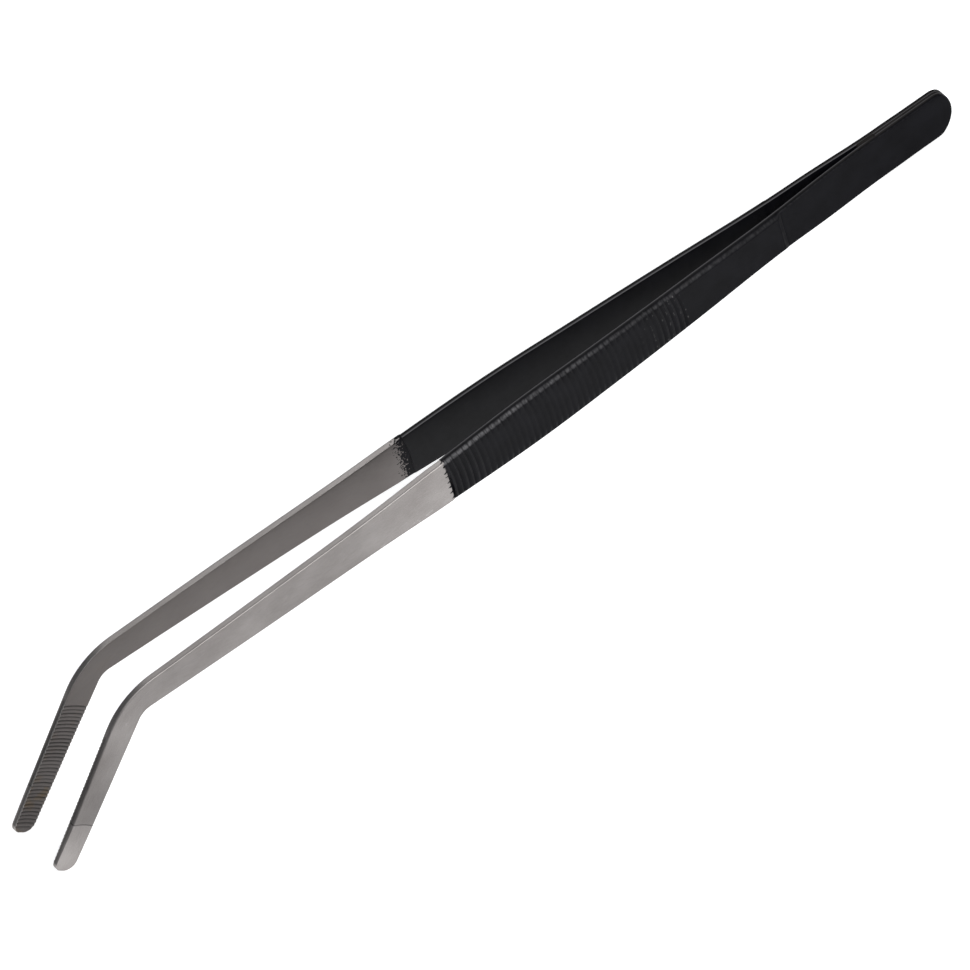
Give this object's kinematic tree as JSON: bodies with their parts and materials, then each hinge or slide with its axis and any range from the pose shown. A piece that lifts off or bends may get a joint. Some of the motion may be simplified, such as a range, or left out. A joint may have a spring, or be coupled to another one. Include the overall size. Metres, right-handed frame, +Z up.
{
  "type": "aquascaping tweezers",
  "caption": "Long sprung tweezers with joined tail, black ribbed handles, bare tapering blades and angled serrated jaws for planting.",
  "frame": {"origin": "centre of the overall box at the table the tweezers stand on", "axes": "+X from the tips to the joined tail, +Y from the near arm to the far arm, +Z up from the table towards the outside of the bend"},
  "size_m": [0.2721, 0.0182, 0.0343],
  "materials": {
    "bare_steel": "satin brushed stainless steel",
    "black_coat": "semi-gloss black coating over steel",
    "weld_metal": "dull welded steel"
  },
  "bodies": {
    "tail": {"near_tail_leaf": "bare_steel", "near_tail_coat": "black_coat", "far_tail_leaf": "bare_steel", "far_tail_coat": "black_coat", "weld_seam": "weld_metal", "weld_bead_top": "black_coat", "weld_bead_bottom": "black_coat"},
    "near_arm": {"near_spring_leaf": "bare_steel", "near_spring_coat": "black_coat", "near_handle": "bare_steel", "near_handle_coat": "black_coat", "near_blade": "bare_steel", "near_jaw": "bare_steel"},
    "far_arm": {"far_spring_leaf": "bare_steel", "far_spring_coat": "black_coat", "far_handle": "bare_steel", "far_handle_coat": "black_coat", "far_blade": "bare_steel", "far_jaw": "bare_steel"}
  },
  "joints": [
    {"name": "near_arm_flex", "type": "hinge", "parent": "tail", "child": "near_arm", "pos_m": [0.10105, -0.00087, 0.00914], "axis": [-0.104, 0, -0.9946], "range_deg": [0, 1.79], "stiffness_Nm_per_rad": 6},
    {"name": "far_arm_flex", "type": "hinge", "parent": "tail", "child": "far_arm", "pos_m": [0.10105, 0.00087, 0.00914], "axis": [0.104, 0, 0.9946], "range_deg": [0, 1.79], "stiffness_Nm_per_rad": 6}
  ]
}
